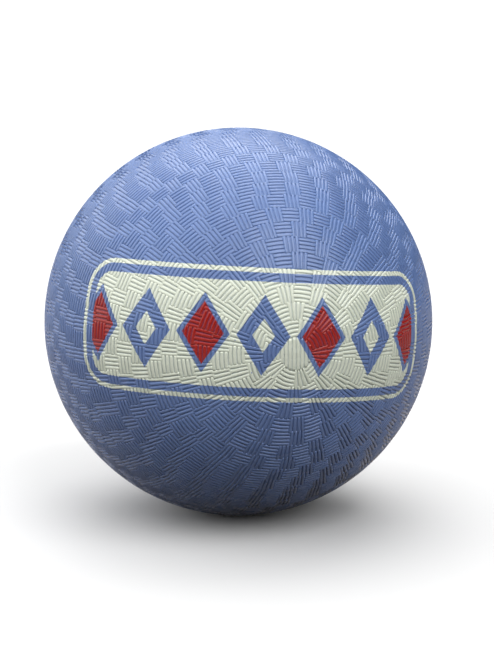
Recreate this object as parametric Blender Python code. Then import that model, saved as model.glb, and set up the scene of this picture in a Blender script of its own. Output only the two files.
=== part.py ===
"""An inflatable playground ball, 8.5 in across, as the six pieces that it is made of.

Metres, +Z up. The origin is the ball's centre, and +Y runs out through the valve. Every piece is
turned about that Y axis, which is also the axis of the mould. The textured cover lies over a
layer of wound thread, which lies over the air-tight bladder. The rubber valve goes through all
three walls.
"""

import bpy
from math import asin, cos, pi, radians, sin

# The ball and its walls
BALL_RADIUS = 0.10795  # 8.5 in across, over the tops of the ribs
COVER_WALL = 0.0015
WINDING_WALL = 0.0004
BLADDER_WALL = 0.0010
GAP = 0.0003  # between neighbours that touch on the real ball

# The hole for the valve, and the flat pad that the cover has round it
HOLE_RADIUS = 0.0045
PAD_RADIUS = 0.0090

# The valve: a rubber housing with a thin flange inside the bladder, and a plug for the needle
PATCH_THICKNESS = 0.0006
FLANGE_THICKNESS = 0.0012
STEM_RADIUS = HOLE_RADIUS - GAP
MOUTH_DEPTH = 0.0002  # how far the valve's flat mouth is set below the pad
MOUTH_EDGE = 0.0003
BOSS_RADIUS = 0.0056
BOSS_LENGTH = 0.0095  # how far the housing stands into the ball, past its flange
POCKET_RADIUS = 0.0030
POCKET_FLOOR = 0.0016
AIR_HOLE_RADIUS = 0.0011
CORE_RADIUS = POCKET_RADIUS - GAP
CORE_TAPER = 0.0030
CORE_TIP_RADIUS = 0.0016
DIMPLE_RADIUS = 0.0009  # where the needle goes in
DIMPLE_DEPTH = 0.0022

# Facets
SLICES = 36  # round the axis
STACKS = 17  # from the patch's edge to the far pole
PATCH_ANGLE = radians(10)  # the patch's edge, seen from the centre
SMALL_SLICES = 20

BLUE_RUBBER = (0.10, 0.17, 0.42, 1)
WHITE_THREAD = (0.72, 0.70, 0.64, 1)
BLACK_RUBBER = (0.020, 0.020, 0.022, 1)
GREY_RUBBER = (0.16, 0.16, 0.17, 1)
DARK_RUBBER = (0.035, 0.035, 0.040, 1)
AMBER_RUBBER = (0.30, 0.17, 0.07, 1)


def clear_scene():
    for obj in list(bpy.data.objects):
        bpy.data.objects.remove(obj)


def rubber(name, colour, roughness):
    material = bpy.data.materials.new(name)
    material.use_nodes = True
    shader = material.node_tree.nodes["Principled BSDF"]
    shader.inputs["Base Color"].default_value = colour
    shader.inputs["Roughness"].default_value = roughness
    shader.inputs["Metallic"].default_value = 0
    return material


def mould_axis():
    """An empty whose Z axis is the ball's +Y, so that a profile can be drawn upright."""
    axis = bpy.data.objects.new("mould_axis", None)
    axis.rotation_euler = (-pi / 2, 0, 0)
    bpy.context.collection.objects.link(axis)
    return axis


def turned(name, profile, slices, axis, material):
    """A solid of revolution. The profile is (radius, height) points that end on the axis or meet."""
    mesh = bpy.data.meshes.new(name)
    points = [(radius, 0, height) for radius, height in profile]
    edges = [(index, index + 1) for index in range(len(points) - 1)]
    if profile[0][0] > 0:
        edges.append((len(points) - 1, 0))
    mesh.from_pydata(points, edges, [])
    mesh.materials.append(material)
    piece = bpy.data.objects.new(name, mesh)
    bpy.context.collection.objects.link(piece)
    piece.parent = axis

    screw = piece.modifiers.new("turn", "SCREW")
    screw.steps = screw.render_steps = slices
    screw.use_merge_vertices = True
    screw.merge_threshold = 0.00001
    screw.use_smooth_shade = True
    return piece


def on_sphere(radius, angle):
    """The profile point at this angle from the valve."""
    return (radius * sin(angle), radius * cos(angle))


def collar_angles(hole_angle):
    """From the edge of the hole to the edge of the patch."""
    return [hole_angle, (hole_angle + PATCH_ANGLE) / 2, PATCH_ANGLE]


def shell_angles(hole_angle):
    """From the edge of the hole to the last stack before the far pole."""
    step = (pi - PATCH_ANGLE) / STACKS
    return collar_angles(hole_angle) + [PATCH_ANGLE + step * stack for stack in range(1, STACKS)]


def shell_profile(outer_radius, wall):
    """A hollow ball that is open at the valve."""
    inner_radius = outer_radius - wall
    angles = shell_angles(asin(HOLE_RADIUS / outer_radius))
    outside = [on_sphere(outer_radius, angle) for angle in angles]
    angles[0] = asin(HOLE_RADIUS / inner_radius)
    inside = [on_sphere(inner_radius, angle) for angle in angles]
    return [(0, -inner_radius)] + inside[::-1] + outside + [(0, -outer_radius)]


def cover_profile():
    """The shell, with a flat pad round the hole that reaches the ball's full radius."""
    profile = shell_profile(BALL_RADIUS, COVER_WALL)
    rim = (len(profile) - 2) // 2 + 1  # the first point of the outer side
    profile[rim : rim + 1] = [(HOLE_RADIUS, BALL_RADIUS), (PAD_RADIUS, BALL_RADIUS)]
    return profile


def cap_profile(outer_radius, thickness, hole_radius, edge_angle):
    """A thin round patch that follows the ball, with a hole for the valve."""
    angles = collar_angles(asin(hole_radius / outer_radius))
    angles = [angle for angle in angles if angle <= edge_angle]
    outside = [on_sphere(outer_radius, angle) for angle in angles]
    inside = [on_sphere(outer_radius - thickness, angle) for angle in angles]
    inside[0] = (hole_radius, inside[0][1])
    return outside + inside[::-1]


def housing_profile(flange_radius, mouth):
    """Stem, flange and boss in one, with a pocket for the plug and an air hole at its inner end."""
    hole_angle, edge_angle, _ = collar_angles(asin(HOLE_RADIUS / flange_radius))
    inner_radius = flange_radius - FLANGE_THICKNESS
    edge_radius, edge_height = on_sphere(flange_radius, edge_angle)
    end = inner_radius - BOSS_LENGTH
    return [
        (POCKET_RADIUS, end + POCKET_FLOOR),
        (POCKET_RADIUS, mouth),
        (STEM_RADIUS - MOUTH_EDGE, mouth),
        (STEM_RADIUS, mouth - MOUTH_EDGE),
        (STEM_RADIUS, flange_radius * cos(hole_angle)),
        (edge_radius, edge_height),
        (edge_radius, edge_height - FLANGE_THICKNESS / 2),
        (BOSS_RADIUS, inner_radius * cos(hole_angle)),
        (BOSS_RADIUS, end + MOUTH_EDGE),
        (BOSS_RADIUS - MOUTH_EDGE, end),
        (AIR_HOLE_RADIUS, end),
        (AIR_HOLE_RADIUS, end + POCKET_FLOOR),
    ]


def core_profile(floor, mouth):
    """A plug with a conical dimple in its outer face and a tapered inner end."""
    return [
        (0, mouth - DIMPLE_DEPTH),
        (DIMPLE_RADIUS, mouth),
        (CORE_RADIUS, mouth),
        (CORE_RADIUS, floor + CORE_TAPER),
        (CORE_TIP_RADIUS, floor),
        (0, floor),
    ]


clear_scene()
axis = mould_axis()

cover_rubber = rubber("cover_rubber", BLUE_RUBBER, 0.45)
wound_thread = rubber("wound_thread", WHITE_THREAD, 0.80)
bladder_rubber = rubber("bladder_rubber", BLACK_RUBBER, 0.40)
patch_rubber = rubber("patch_rubber", GREY_RUBBER, 0.70)
housing_rubber = rubber("housing_rubber", DARK_RUBBER, 0.50)
core_rubber = rubber("core_rubber", AMBER_RUBBER, 0.45)

winding_radius = BALL_RADIUS - COVER_WALL - GAP
bladder_radius = winding_radius - WINDING_WALL - GAP
patch_radius = bladder_radius - BLADDER_WALL - GAP
flange_radius = patch_radius - PATCH_THICKNESS - GAP
mouth = BALL_RADIUS - MOUTH_DEPTH
pocket_floor = flange_radius - FLANGE_THICKNESS - BOSS_LENGTH + POCKET_FLOOR

turned("outer_cover", cover_profile(), SLICES, axis, cover_rubber)
turned("nylon_winding", shell_profile(winding_radius, WINDING_WALL), SLICES, axis, wound_thread)
turned("bladder", shell_profile(bladder_radius, BLADDER_WALL), SLICES, axis, bladder_rubber)
patch = cap_profile(patch_radius, PATCH_THICKNESS, HOLE_RADIUS, PATCH_ANGLE)
turned("valve_patch", patch, SLICES, axis, patch_rubber)
turned("valve_housing", housing_profile(flange_radius, mouth), SLICES, axis, housing_rubber)
core = core_profile(pocket_floor + GAP, mouth)
turned("valve_core", core, SMALL_SLICES, axis, core_rubber)
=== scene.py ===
from math import asin, cos, pi, radians, sin, sqrt

import bmesh
import bpy
from mathutils import Matrix, Vector


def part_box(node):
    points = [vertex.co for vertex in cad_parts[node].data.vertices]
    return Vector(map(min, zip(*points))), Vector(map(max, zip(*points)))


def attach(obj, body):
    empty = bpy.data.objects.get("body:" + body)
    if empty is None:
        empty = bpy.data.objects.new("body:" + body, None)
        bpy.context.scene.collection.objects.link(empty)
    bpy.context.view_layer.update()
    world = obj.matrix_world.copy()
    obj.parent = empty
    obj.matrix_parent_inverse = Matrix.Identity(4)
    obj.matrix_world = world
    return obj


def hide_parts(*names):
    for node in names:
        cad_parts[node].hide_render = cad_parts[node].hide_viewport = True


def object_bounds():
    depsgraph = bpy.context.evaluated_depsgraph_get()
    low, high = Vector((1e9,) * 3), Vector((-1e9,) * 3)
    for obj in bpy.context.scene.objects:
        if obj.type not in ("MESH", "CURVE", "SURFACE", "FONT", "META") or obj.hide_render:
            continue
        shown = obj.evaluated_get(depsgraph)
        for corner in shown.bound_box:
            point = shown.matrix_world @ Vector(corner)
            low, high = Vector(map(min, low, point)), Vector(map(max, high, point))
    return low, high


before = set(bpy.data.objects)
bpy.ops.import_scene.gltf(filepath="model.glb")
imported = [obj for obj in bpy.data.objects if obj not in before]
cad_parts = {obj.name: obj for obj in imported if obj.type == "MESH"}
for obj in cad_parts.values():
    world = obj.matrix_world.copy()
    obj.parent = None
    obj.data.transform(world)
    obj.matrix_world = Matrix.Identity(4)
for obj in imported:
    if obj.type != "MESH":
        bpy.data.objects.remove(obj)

cad_low, cad_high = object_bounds()

# ---------------------------------------------------------------------------------------------
# Bladder: the air-tight butyl ball inside. It is dipped or moulded in one piece, smooth and
# black, dusted with talc so that it doesn't stick to the thread that is wound over it.
# ---------------------------------------------------------------------------------------------


def feed(tree, socket, value):
    """Puts a value, or what another node gives, into this socket."""
    if isinstance(value, bpy.types.NodeSocket):
        tree.links.new(value, socket)
    else:
        socket.default_value = value


def calc(tree, operation, *values):
    """A Math node on values or sockets, in either kind of tree."""
    node = tree.nodes.new("ShaderNodeMath")
    node.operation = operation
    for socket, value in zip(node.inputs, values):
        feed(tree, socket, value)
    return node.outputs[0]


def added(tree, kind, **inputs):
    """A node of this kind with these inputs, whose names are written with _ for a space."""
    node = tree.nodes.new(kind)
    for name, value in inputs.items():
        feed(tree, node.inputs[name.replace("_", " ")], value)
    return node


def mixed(tree, share, first, second):
    """The first colour, and share of the second over it."""
    node = tree.nodes.new("ShaderNodeMix")
    node.data_type = "RGBA"
    for socket, value in zip([s for s in node.inputs if s.enabled], (share, first, second)):
        feed(tree, socket, value)
    return next(s for s in node.outputs if s.enabled)


def stepped(tree, value, low, high):
    """0 where the value is under low, 1 over high, and smooth between them."""
    node = tree.nodes.new("ShaderNodeMapRange")
    node.interpolation_type = "SMOOTHSTEP"
    for socket, given in zip(node.inputs, (value, low, high, 0.0, 1.0)):
        feed(tree, socket, given)
    return node.outputs[0]


def noise(tree, place, scale, detail=2.0):
    node = added(tree, "ShaderNodeTexNoise", Vector=place, Scale=scale, Detail=detail)
    return node.outputs["Fac"]


def new_rubber(name, roughness):
    """A rubber's material, its Principled shader, and where on the piece a point is."""
    material = bpy.data.materials.new(name)
    material.use_nodes = True
    tree = material.node_tree
    shader = tree.nodes["Principled BSDF"]
    shader.inputs["Roughness"].default_value = roughness
    shader.inputs["Specular IOR Level"].default_value = 0.5
    place = tree.nodes.new("ShaderNodeTexCoord").outputs["Object"]
    return material, tree, shader, place


def bumped(tree, shader, height, depth, strength=1.0):
    node = added(tree, "ShaderNodeBump", Height=height, Strength=strength, Distance=depth)
    tree.links.new(node.outputs["Normal"], shader.inputs["Normal"])


def dressed(node, material):
    """Gives a CAD node this material in every slot."""
    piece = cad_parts[node]
    for place in piece.material_slots:
        place.material = material


def bladder_rubber():
    black = (0.012, 0.012, 0.013, 1)
    talc = (0.16, 0.16, 0.155, 1)
    bare_roughness, dust_roughness = 0.40, 0.75
    grain_depth = 0.00005
    material, tree, shader, place = new_rubber("bladder_rubber", bare_roughness)
    dust = stepped(tree, noise(tree, place, 60, 6), 0.48, 0.75)
    feed(tree, shader.inputs["Base Color"], mixed(tree, dust, black, talc))
    roughness = calc(tree, "MULTIPLY_ADD", dust, dust_roughness - bare_roughness, bare_roughness)
    feed(tree, shader.inputs["Roughness"], roughness)
    bumped(tree, shader, noise(tree, place, 900), grain_depth)
    return material


dressed("bladder", bladder_rubber())

# ---------------------------------------------------------------------------------------------
# Nylon winding: one long thread wound round the bladder in every direction and set in latex,
# so that the ball keeps its size and stays round when it is pumped up.
# ---------------------------------------------------------------------------------------------


def wound_thread():
    thread = (0.70, 0.68, 0.60, 1)
    latex = (0.50, 0.42, 0.28, 1)
    thread_thickness = 0.0002
    material, tree, shader, place = new_rubber("wound_thread", 0.7)
    turns = tree.nodes.new("ShaderNodeTexWave")
    turns.wave_profile = "SIN"
    feed(tree, turns.inputs["Vector"], place)
    feed(tree, turns.inputs["Scale"], 420.0)
    feed(tree, turns.inputs["Distortion"], 6.0)
    feed(tree, turns.inputs["Detail"], 1.0)
    feed(tree, turns.inputs["Detail Scale"], 0.05)
    strand = turns.outputs["Fac"]
    feed(tree, shader.inputs["Base Color"], mixed(tree, strand, latex, thread))
    bumped(tree, shader, strand, thread_thickness)
    return material


dressed("nylon_winding", wound_thread())

# ---------------------------------------------------------------------------------------------
# Valve: a rubber housing goes through all three walls, with a flange that a round patch ties
# to the bladder. A soft gum plug is pushed into the housing and closes by itself round the
# pump's needle.
# ---------------------------------------------------------------------------------------------


def valve_rubber(name, colour, paler, roughness):
    grain_depth = 0.00003
    material, tree, shader, place = new_rubber(name, roughness)
    patches = stepped(tree, noise(tree, place, 350, 4), 0.35, 0.75)
    feed(tree, shader.inputs["Base Color"], mixed(tree, patches, colour, paler))
    bumped(tree, shader, noise(tree, place, 2500), grain_depth)
    return material


grey, pale_grey = (0.13, 0.13, 0.14, 1), (0.22, 0.22, 0.22, 1)
black, worn_black = (0.02, 0.02, 0.023, 1), (0.05, 0.05, 0.055, 1)
amber, pale_amber = (0.26, 0.14, 0.055, 1), (0.36, 0.21, 0.09, 1)
dressed("valve_patch", valve_rubber("patch_rubber", grey, pale_grey, 0.75))
dressed("valve_housing", valve_rubber("housing_rubber", black, worn_black, 0.5))
dressed("valve_core", valve_rubber("core_rubber", amber, pale_amber, 0.4))

# ---------------------------------------------------------------------------------------------
# Cover: the outer rubber, moulded over the wound ball in a two-part mould. The skin reaches out
# to the floor of the grooves, with a fine line where the halves of the mould met and a smooth
# pad round the valve. The ribs stand on it. One design is printed over the front in two inks.
# ---------------------------------------------------------------------------------------------

RELIEF = 0.0005  # from the floor of a groove to the top of a rib
ball_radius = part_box("outer_cover")[1].z
winding_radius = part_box("nylon_winding")[1].z
floor_radius = ball_radius - RELIEF
gap_to_winding = 0.0003
hole_radius = 0.0045
pad_radius = 0.0080


def printed_design(tree, place):
    """Two masks, of the cream ink and of the red: a band of diamonds inside a thin keyline."""
    half_width, half_height, corner = 0.094, 0.0265, 0.009
    key_gap, key_line = 0.0046, 0.0024
    pitch, diamond_width, diamond_height = 0.0300, 0.0134, 0.0200
    red_size, heart_size = 0.78, 0.42  # of an open diamond's
    size_to_distance = diamond_width * 0.83
    height_on_ball = 0.0030
    edge = 0.00018
    waver = 0.0006  # from one side of a wavering edge of the ink to the other
    tilt = (radians(3), radians(-4), radians(8.8))

    tilted = added(tree, "ShaderNodeMapping", Vector=place, Rotation=tilt)
    axes = tree.nodes.new("ShaderNodeSeparateXYZ")
    feed(tree, axes.inputs[0], tilted.outputs[0])
    x, y, z = axes.outputs
    length = added(tree, "ShaderNodeVectorMath", Vector=place)
    length.operation = "LENGTH"
    ragged = calc(tree, "MULTIPLY_ADD", noise(tree, place, 1400), waver, -waver / 2)
    longitude = calc(tree, "ARCTAN2", x, calc(tree, "MULTIPLY", y, -1))
    across = calc(tree, "MULTIPLY", longitude, ball_radius)
    latitude = calc(tree, "ARCSINE", calc(tree, "DIVIDE", z, length.outputs["Value"]))
    up = calc(tree, "MULTIPLY_ADD", latitude, ball_radius, -height_on_ball)
    far_across = calc(tree, "ABSOLUTE", across)
    far_up = calc(tree, "ABSOLUTE", up)

    # How far a point is outside the band, whose corners are round
    over_x = calc(tree, "SUBTRACT", far_across, half_width - corner)
    over_z = calc(tree, "SUBTRACT", far_up, half_height - corner)
    past_x = calc(tree, "MAXIMUM", over_x, 0.0)
    past_z = calc(tree, "MAXIMUM", over_z, 0.0)
    squares = [calc(tree, "POWER", past, 2.0) for past in (past_x, past_z)]
    corner_part = calc(tree, "SQRT", calc(tree, "ADD", *squares))
    side_part = calc(tree, "MINIMUM", calc(tree, "MAXIMUM", over_x, over_z), 0.0)
    outside = calc(tree, "SUBTRACT", calc(tree, "ADD", corner_part, side_part), corner)
    outside = calc(tree, "ADD", outside, ragged)

    def within(distance):
        return stepped(tree, distance, edge, -edge)

    band = within(outside)
    from_line = calc(tree, "ABSOLUTE", calc(tree, "SUBTRACT", outside, key_gap + key_line / 2))
    keyline = within(calc(tree, "SUBTRACT", from_line, key_line / 2))

    # The row of diamonds: every other one is filled with red
    place_in_row = calc(tree, "DIVIDE", across, pitch)
    number = calc(tree, "ROUND", place_in_row)
    off_middle = calc(tree, "ABSOLUTE", calc(tree, "SUBTRACT", place_in_row, number))
    from_middle = calc(tree, "MULTIPLY", off_middle, pitch)
    odd = calc(tree, "ABSOLUTE", calc(tree, "MODULO", number, 2.0))

    def diamond(size):
        """A mask of a diamond in each place of the row, this share of the full size."""
        share_across = calc(tree, "DIVIDE", from_middle, diamond_width)
        reach = calc(tree, "ADD", share_across, calc(tree, "DIVIDE", far_up, diamond_height))
        past = calc(tree, "MULTIPLY", calc(tree, "SUBTRACT", reach, size), size_to_distance)
        return within(calc(tree, "ADD", past, ragged))

    open_diamond = diamond(1.0)
    red = calc(tree, "MULTIPLY", calc(tree, "MULTIPLY", diamond(red_size), odd), band)
    heart = calc(tree, "MULTIPLY", diamond(heart_size), calc(tree, "SUBTRACT", 1.0, odd))
    cream = calc(tree, "MULTIPLY", band, calc(tree, "SUBTRACT", 1.0, open_diamond))
    cream = calc(tree, "MAXIMUM", calc(tree, "MAXIMUM", cream, calc(tree, "MULTIPLY", heart, band)), keyline)
    return cream, red, length.outputs["Value"]


def cover_rubber():
    blue = (0.120, 0.192, 0.400, 1)
    deep_blue = (0.104, 0.168, 0.360, 1)
    cream_ink = (0.65, 0.69, 0.58, 1)
    red_ink = (0.31, 0.006, 0.002, 1)
    groove_shade_ink_share = 0.78  # the share of the ink's colour kept at the floor of a groove: the blue that shows through there is painted shade in the grooves
    least_roughness, more_roughness = 0.17, 0.20
    grain_depth, grain_strength = 0.00004, 0.35
    material, tree, shader, place = new_rubber("cover_rubber", 0.42)
    cream, red, radius = printed_design(tree, place)
    rise = stepped(tree, radius, floor_radius, floor_radius + 0.7 * RELIEF)
    worn = stepped(tree, noise(tree, place, 700, 4), 0.24, 0.30)
    # Painted shade in the grooves: towards the floor of each groove the ink gives way to the blue, so it is
    # darker there than on the ribs
    ink_with_groove_shade = calc(tree, "MULTIPLY_ADD", rise, 1 - groove_shade_ink_share, groove_shade_ink_share)
    # The ink's share holds the painted groove shade and the wear together
    ink_with_groove_shade_and_wear = calc(tree, "MULTIPLY", ink_with_groove_shade, worn)
    cloud = stepped(tree, noise(tree, place, 22, 5), 0.30, 0.70)
    rubber = mixed(tree, cloud, deep_blue, blue)
    rubber = mixed(tree, calc(tree, "MULTIPLY", cream, ink_with_groove_shade_and_wear), rubber, cream_ink)
    rubber = mixed(tree, calc(tree, "MULTIPLY", red, ink_with_groove_shade_and_wear), rubber, red_ink)
    feed(tree, shader.inputs["Base Color"], rubber)
    scuffed = calc(tree, "MULTIPLY_ADD", noise(tree, place, 95, 6), more_roughness, least_roughness)
    feed(tree, shader.inputs["Roughness"], scuffed)
    bumped(tree, shader, noise(tree, place, 3200), grain_depth, grain_strength)
    return material


def finished(piece, slot, *replaced):
    """Every new piece rides on the ball's one body."""
    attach(piece, "root")
    if replaced:
        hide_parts(*replaced)


def turned(name, profile, slices, material):
    """A smooth solid turned about the Y axis. Its profile is (radius, place along Y)."""
    mesh = bpy.data.meshes.new(name)
    piece = bpy.data.objects.new(name, mesh)
    bpy.context.scene.collection.objects.link(piece)
    shape = bmesh.new()
    points = [shape.verts.new((radius, along, 0)) for radius, along in profile]
    edges = [shape.edges.new(pair) for pair in zip(points, points[1:])]
    bmesh.ops.spin(
        shape, geom=points + edges, cent=(0, 0, 0), axis=(0, 1, 0), angle=2 * pi, steps=slices,
        use_merge=True, use_duplicate=False,
    )
    bmesh.ops.remove_doubles(shape, verts=shape.verts, dist=1e-6)
    bmesh.ops.recalc_face_normals(shape, faces=shape.faces)
    shape.to_mesh(mesh)
    shape.free()
    mesh.shade_smooth()
    mesh.set_sharp_from_angle(angle=radians(50))
    mesh.materials.append(material)
    return piece


def skin_profile():
    """From the far pole inside, round the rim of the valve's hole, and back outside."""
    stacks = 90
    flash_height, flash_width = 0.0004, 0.0006
    inner = winding_radius + gap_to_winding
    angles = [asin(hole_radius / inner)] + [pi * step / stacks for step in range(2, stacks)]
    inside = [(inner * sin(angle), inner * cos(angle)) for angle in angles]
    top = ball_radius
    pad = [
        (hole_radius, top - 0.0004),
        (hole_radius + 0.0001, top - 0.0001),
        (hole_radius + 0.0004, top),
        (pad_radius - 0.0008, top - 0.0001),
        (pad_radius - 0.0002, top - 0.0003),
        (pad_radius, sqrt(floor_radius**2 - pad_radius**2)),
    ]
    outside = []
    for step in range(3, stacks):
        angle = pi * step / stacks
        if step * 2 == stacks:
            half = flash_width / 2 / floor_radius
            line = ((-half, 0), (-half / 2, flash_height), (half / 2, flash_height), (half, 0))
            for turn, rise in line:
                reach = floor_radius + rise
                outside.append((reach * sin(angle + turn), reach * cos(angle + turn)))
        else:
            outside.append((floor_radius * sin(angle), floor_radius * cos(angle)))
    return [(0, -inner)] + inside[::-1] + pad + outside + [(0, -floor_radius)]


cover = cover_rubber()
skin = turned("cover_skin", skin_profile(), 180, cover)
finished(skin, "cover_rubber", "outer_cover")

# ---------------------------------------------------------------------------------------------
# Ribs: the raised grip of the cover. The mould is cut in rings round its axis, and each ring in
# square tiles with four ribs each, turned a quarter from one tile to the next. The ribs are
# moulded in one with the skin and reach a little way into it here.
# ---------------------------------------------------------------------------------------------

BANDS = 20  # rings of tiles in each half of the mould
RIBS_IN_TILE = 4


def new_rib(stretches):
    """One rib, in shares of a tile across and along, and in metres up from the grooves."""
    half_width, full_height, half_length, root = 0.114, 0.46, 0.56, 0.0002
    side = [(1, -root), (0.87, 0.28 * RELIEF), (0.64, 0.82 * RELIEF), (0.38, RELIEF)]
    section = [(-x, z) for x, z in side] + side[::-1]
    middle = [(full_height * (2 * step / stretches - 1), 1.0) for step in range(stretches + 1)]
    shape = bmesh.new()
    rings = [
        [shape.verts.new((x * half_width, along, z * height if z > 0 else z)) for x, z in section]
        for along, height in [(-half_length, 0.75)] + middle + [(half_length, 0.75)]
    ]
    for ring, after in zip(rings, rings[1:]):
        for index in range(len(section)):
            follow = (index + 1) % len(section)
            shape.faces.new((ring[index], ring[follow], after[follow], after[index]))
    shape.faces.new(rings[0])
    shape.faces.new(rings[-1])
    bmesh.ops.recalc_face_normals(shape, faces=shape.faces)
    mesh = bpy.data.meshes.new("rib")
    shape.to_mesh(mesh)
    shape.free()
    rib = bpy.data.objects.new("rib", mesh)
    bpy.context.scene.collection.objects.link(rib)
    return rib


def basket_weave():
    """The tree that sets ribs out over some of the rings of one half of the mould."""
    tree = bpy.data.node_groups.new("basket_weave", "GeometryNodeTree")
    wanted = {
        "Rib": "NodeSocketObject",
        "Rubber": "NodeSocketMaterial",
        "First Band": "NodeSocketInt",
        "Bands": "NodeSocketInt",
        "Band Angle": "NodeSocketFloat",
        "Tile Angle": "NodeSocketFloat",
        "Ribs in Tile": "NodeSocketInt",
        "Floor Radius": "NodeSocketFloat",
        "Skew": "NodeSocketFloat",
        "Seed": "NodeSocketInt",
    }
    tree.interface.new_socket("Geometry", in_out="INPUT", socket_type="NodeSocketGeometry")
    for name, kind in wanted.items():
        tree.interface.new_socket(name, in_out="INPUT", socket_type=kind)
    tree.interface.new_socket("Geometry", in_out="OUTPUT", socket_type="NodeSocketGeometry")
    given = tree.nodes.new("NodeGroupInput").outputs
    result = tree.nodes.new("NodeGroupOutput").inputs["Geometry"]

    def keep(geometry, name, value):
        node = added(tree, "GeometryNodeStoreNamedAttribute", Geometry=geometry, Name=name)
        feed(tree, next(s for s in node.inputs if s.name == "Value" and s.enabled), value)
        return node.outputs["Geometry"]

    def kept(name):
        node = added(tree, "GeometryNodeInputNamedAttribute", Name=name)
        return next(s for s in node.outputs if s.name == "Attribute" and s.enabled)

    def chance(low, high, extra):
        node = tree.nodes.new("FunctionNodeRandomValue")
        sockets = [s for s in node.inputs if s.enabled]
        seed = calc(tree, "ADD", given["Seed"], extra)
        index = tree.nodes.new("GeometryNodeInputIndex").outputs[0]
        for socket, value in zip(sockets, (low, high, index, seed)):
            feed(tree, socket, value)
        return next(s for s in node.outputs if s.enabled)

    def copied(geometry, amount):
        node = added(tree, "GeometryNodeDuplicateElements", Geometry=geometry, Amount=amount)
        node.domain = "POINT"
        return node.outputs["Geometry"], node.outputs["Duplicate Index"]

    # A point for each ring, which knows its angle from the pole and the span of one tile
    points = added(tree, "GeometryNodePoints", Count=given["Bands"]).outputs[0]
    index = tree.nodes.new("GeometryNodeInputIndex").outputs[0]
    ring = calc(tree, "ADD", index, given["First Band"])
    ring_angle = calc(tree, "MULTIPLY", calc(tree, "ADD", ring, 0.5), given["Band Angle"])
    points = keep(points, "ring_angle", ring_angle)
    round_ring = calc(tree, "MULTIPLY", calc(tree, "SINE", kept("ring_angle")), 2 * pi)
    tiles_that_fit = calc(tree, "DIVIDE", round_ring, given["Tile Angle"])
    pairs = calc(tree, "ROUND", calc(tree, "DIVIDE", tiles_that_fit, 2.0))
    tiles = calc(tree, "MULTIPLY", pairs, 2.0)
    points = keep(points, "tile_span", calc(tree, "DIVIDE", 2 * pi, tiles))
    points = keep(points, "ring_turn", chance(0.0, 2 * pi, 0))

    # A point for each tile, and then for each rib
    tiles = calc(tree, "ROUND", calc(tree, "DIVIDE", 2 * pi, kept("tile_span")))
    points, number = copied(points, tiles)
    turn = calc(tree, "MULTIPLY_ADD", number, kept("tile_span"), kept("ring_turn"))
    points = keep(points, "tile_turn", turn)
    points = keep(points, "crossed", calc(tree, "MODULO", number, 2.0))
    least_skew = calc(tree, "MULTIPLY", given["Skew"], -1)
    points = keep(points, "skew", chance(least_skew, given["Skew"], 1))
    points, number = copied(points, given["Ribs in Tile"])
    middle = calc(tree, "DIVIDE", calc(tree, "SUBTRACT", given["Ribs in Tile"], 1.0), 2.0)
    step = calc(tree, "DIVIDE", calc(tree, "SUBTRACT", number, middle), given["Ribs in Tile"])
    points = keep(points, "rib_place", calc(tree, "ADD", step, chance(-0.004, 0.004, 2)))
    points = keep(points, "rib_length", chance(0.97, 1.015, 3))
    rib = added(tree, "GeometryNodeObjectInfo", Object=given["Rib"]).outputs["Geometry"]
    ribs = added(tree, "GeometryNodeInstanceOnPoints", Points=points, Instance=rib).outputs[0]
    ribs = added(tree, "GeometryNodeRealizeInstances", Geometry=ribs).outputs[0]

    # Each rib is then laid from its flat tile on to the ball
    axes = tree.nodes.new("ShaderNodeSeparateXYZ")
    feed(tree, axes.inputs[0], tree.nodes.new("GeometryNodeInputPosition").outputs[0])
    across = calc(tree, "ADD", axes.outputs[0], kept("rib_place"))
    along = calc(tree, "MULTIPLY", axes.outputs[1], kept("rib_length"))
    turned_across = calc(tree, "MULTIPLY_ADD", along, kept("skew"), across)
    turned_along = calc(tree, "SUBTRACT", along, calc(tree, "MULTIPLY", across, kept("skew")))
    straight = calc(tree, "SUBTRACT", 1.0, kept("crossed"))
    tile_x = calc(
        tree, "SUBTRACT",
        calc(tree, "MULTIPLY", turned_across, straight),
        calc(tree, "MULTIPLY", turned_along, kept("crossed")),
    )
    tile_y = calc(
        tree, "ADD",
        calc(tree, "MULTIPLY", turned_along, straight),
        calc(tree, "MULTIPLY", turned_across, kept("crossed")),
    )
    polar = calc(tree, "MULTIPLY_ADD", tile_y, given["Band Angle"], kept("ring_angle"))
    around = calc(tree, "MULTIPLY_ADD", tile_x, kept("tile_span"), kept("tile_turn"))
    reach = calc(tree, "ADD", given["Floor Radius"], axes.outputs[2])
    out = calc(tree, "MULTIPLY", reach, calc(tree, "SINE", polar))
    height = calc(tree, "MULTIPLY", reach, calc(tree, "COSINE", polar))
    sideways = calc(tree, "MULTIPLY", out, calc(tree, "SINE", around))
    place = added(
        tree, "ShaderNodeCombineXYZ",
        X=calc(tree, "MULTIPLY", out, calc(tree, "COSINE", around)),
        Y=calc(tree, "MULTIPLY", height, -1.0),
        Z=calc(tree, "MULTIPLY", sideways, -1.0),
    ).outputs[0]
    ribs = added(tree, "GeometryNodeSetPosition", Geometry=ribs, Position=place).outputs[0]
    ribs = added(tree, "GeometryNodeSetShadeSmooth", Geometry=ribs).outputs[0]
    node = added(tree, "GeometryNodeSetMaterial", Geometry=ribs, Material=given["Rubber"])
    tree.links.new(node.outputs[0], result)
    return tree


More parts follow.
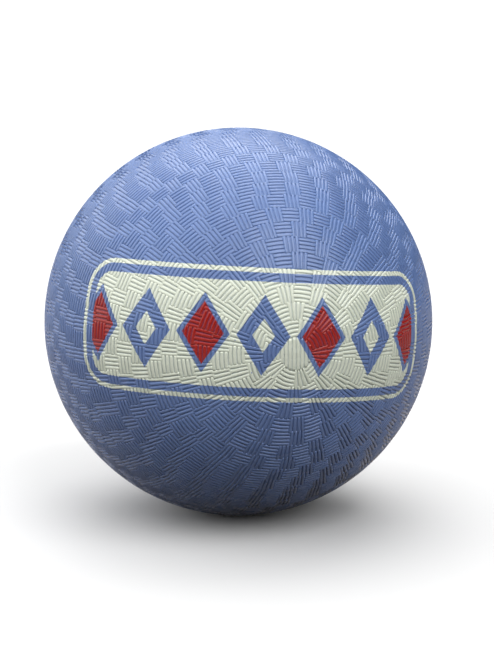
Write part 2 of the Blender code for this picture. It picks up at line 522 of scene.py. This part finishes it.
def ribs_of(name, tree, half_turn, **inputs):
    """One piece of ribs, made by the tree and then turned to its half of the ball."""
    worked_with = (
        "ring_angle", "tile_span", "ring_turn", "tile_turn", "crossed", "skew", "rib_place", "rib_length",
    )
    start = bpy.data.objects.new("start", bpy.data.meshes.new("start"))
    bpy.context.scene.collection.objects.link(start)
    modifier = start.modifiers.new("weave", "NODES")
    modifier.node_group = tree
    for item in tree.interface.items_tree:
        key = item.name.replace(" ", "_")
        if item.in_out == "INPUT" and key in inputs:
            modifier[item.identifier] = inputs[key]
    graph = bpy.context.evaluated_depsgraph_get()
    mesh = bpy.data.meshes.new_from_object(start.evaluated_get(graph), depsgraph=graph)
    bpy.data.objects.remove(start)
    for attribute in worked_with:
        mesh.attributes.remove(mesh.attributes[attribute])
    mesh.name = name
    mesh.transform(Matrix.Rotation(half_turn, 4, "X"))
    piece = bpy.data.objects.new(name, mesh)
    bpy.context.scene.collection.objects.link(piece)
    return piece


long_rib, short_rib = new_rib(4), new_rib(2)
weave = basket_weave()
band_groups = ((1, 4), (5, 4), (9, 4), (13, 4), (17, 3))  # the first ring, and how many rings
front_seed, back_seed = 11, 51
for half, half_turn, half_seed in (("front", 0.0, front_seed), ("back", pi, back_seed)):
    for group, (first, count) in enumerate(band_groups):
        piece = ribs_of(
            f"ribs_{half}_{group + 1}", weave, half_turn,
            Rib=short_rib if group else long_rib, Rubber=cover, First_Band=first, Bands=count,
            Band_Angle=pi / 2 / BANDS, Tile_Angle=radians(4.4), Ribs_in_Tile=RIBS_IN_TILE,
            Floor_Radius=floor_radius, Skew=0.045, Seed=half_seed + group,
        )
        finished(piece, "cover_rubber", "outer_cover")


def pole_ribs(rib, rubber):
    """The insert that closes the mould at the front pole: straight ribs cut to a round plan."""
    ribs_to_edge, clearance = 4.1, 0.9
    edge = floor_radius * sin(pi / 2 / BANDS)
    tile = edge / ribs_to_edge * RIBS_IN_TILE
    shape = bmesh.new()
    for number in range(2 * RIBS_IN_TILE):
        middle = (number - RIBS_IN_TILE + 0.5) / RIBS_IN_TILE * tile
        half_chord = sqrt(edge**2 - middle**2)
        first = len(shape.verts)
        shape.from_mesh(rib.data)
        shape.verts.ensure_lookup_table()
        for vertex in shape.verts[first:]:
            x, along, rise = vertex.co
            flat = Vector((middle + x * tile, 0, along * 2 * half_chord * clearance))
            down = -sqrt(floor_radius**2 - flat.length_squared)
            vertex.co = Vector((flat.x, down, flat.z)) * (1 + rise / floor_radius)
    bmesh.ops.recalc_face_normals(shape, faces=shape.faces)
    mesh = bpy.data.meshes.new("ribs_pole")
    shape.to_mesh(mesh)
    shape.free()
    mesh.shade_smooth()
    mesh.materials.append(rubber)
    piece = bpy.data.objects.new("ribs_pole", mesh)
    bpy.context.scene.collection.objects.link(piece)
    return piece


finished(pole_ribs(short_rib, cover), "cover_rubber", "outer_cover")
for rib in (long_rib, short_rib):
    bpy.data.objects.remove(rib)

# ---------------------------------------------------------------------------------------------
# Floor, light and camera: a pale floor that runs out to a pale wall, and three wide soft lights
# round the ball. Only the camera sees this floor. The ball's gloss shows a dimmer copy of it, so
# that the underside of the ball stays as dark as it is on a floor that is less bright.
# ---------------------------------------------------------------------------------------------

scene = bpy.context.scene
scene.view_settings.view_transform = "Standard"

floor_reach = 14.0
floor_z = cad_low[2]
seen_grey, mirrored_grey = (0.60, 0.60, 0.60, 1), (0.38, 0.35, 0.33, 1)
corners = ((-1, -1), (1, -1), (1, 1), (-1, 1))
floor_mesh = bpy.data.meshes.new("floor")
floor_points = [(x * floor_reach, y * floor_reach, floor_z) for x, y in corners]
floor_mesh.from_pydata(floor_points, [], [(0, 1, 2, 3)])
floor = bpy.data.objects.new("floor", floor_mesh)
scene.collection.objects.link(floor)
floor_paint = bpy.data.materials.new("floor_paint")
floor_paint.use_nodes = True
paint = floor_paint.node_tree.nodes["Principled BSDF"]
paint.inputs["Base Color"].default_value = seen_grey
paint.inputs["Roughness"].default_value = 0.9
paint.inputs["Specular IOR Level"].default_value = 0.0
floor_mesh.materials.append(floor_paint)
floor.visible_diffuse = False
floor.visible_glossy = False
floor.visible_shadow = False

mirrored_floor = bpy.data.objects.new("mirrored_floor", floor_mesh.copy())
scene.collection.objects.link(mirrored_floor)
mirrored_paint = floor_paint.copy()
paint = mirrored_paint.node_tree.nodes["Principled BSDF"]
paint.inputs["Base Color"].default_value = mirrored_grey
mirrored_floor.data.materials[0] = mirrored_paint
mirrored_floor.visible_camera = False
mirrored_floor.visible_diffuse = False
mirrored_floor.visible_shadow = False

backdrop_radius, backdrop_height = 12.0, 9.0
backdrop_mesh = bpy.data.meshes.new("backdrop")
wall = bmesh.new()
bmesh.ops.create_cone(
    wall, segments=96, radius1=backdrop_radius, radius2=backdrop_radius, depth=backdrop_height,
)
bmesh.ops.reverse_faces(wall, faces=wall.faces)
bmesh.ops.translate(wall, verts=wall.verts, vec=(0, 0, floor_z + backdrop_height / 2))
wall.to_mesh(backdrop_mesh)
wall.free()
backdrop = bpy.data.objects.new("backdrop", backdrop_mesh)
scene.collection.objects.link(backdrop)
backdrop_paint = bpy.data.materials.new("backdrop_paint")
backdrop_paint.use_nodes = True
paint = backdrop_paint.node_tree.nodes["Principled BSDF"]
paint.inputs["Base Color"].default_value = (0, 0, 0, 1)
paint.inputs["Emission Color"].default_value = (1, 1, 1, 1)
paint.inputs["Emission Strength"].default_value = 1.0
backdrop_mesh.materials.append(backdrop_paint)
backdrop.visible_diffuse = False
backdrop.visible_glossy = False
backdrop.visible_shadow = False

world = bpy.data.worlds.new("studio")
scene.world = world
world.use_nodes = True
background = world.node_tree.nodes["Background"]
background.inputs["Strength"].default_value = 0.0


def towards(azimuth, elevation):
    return Vector((sin(azimuth) * cos(elevation), -cos(azimuth) * cos(elevation), sin(elevation)))


def soft_light(name, azimuth, elevation, power, spread=50):
    """Light from a disc far away, which spans this many degrees."""
    lamp = bpy.data.lights.new(name, "SUN")
    lamp.angle = radians(spread)
    lamp.energy = power
    holder = bpy.data.objects.new(name, lamp)
    holder.rotation_euler = towards(azimuth, elevation).to_track_quat("Z", "Y").to_euler()
    scene.collection.objects.link(holder)


camera_azimuth = radians(-15.3)
camera_elevation = radians(8.9)
soft_light("overhead_light", camera_azimuth - radians(90), radians(60), 4.7, spread=120)
soft_light("front_light", camera_azimuth + radians(42), radians(38), 2.2)
soft_light("back_light", camera_azimuth + radians(170), radians(60), 1.1)

distance_in_radii = 7.5
ball_share = 0.589  # of the frame's height
right_of_ball, above_ball = 0.0131, -0.0121  # the frame's centre from the ball's, in frame heights
camera_data = bpy.data.cameras.new("camera")
camera_data.sensor_width = 36
camera_data.lens = camera_data.sensor_width * ball_share / 2 * sqrt(distance_in_radii**2 - 1)
camera_data.shift_x = right_of_ball
camera_data.shift_y = above_ball
camera = bpy.data.objects.new("camera", camera_data)
away = towards(camera_azimuth, camera_elevation)
camera.location = away * distance_in_radii * ball_radius
camera.rotation_euler = away.to_track_quat("Z", "Y").to_euler()
scene.collection.objects.link(camera)
scene.camera = camera
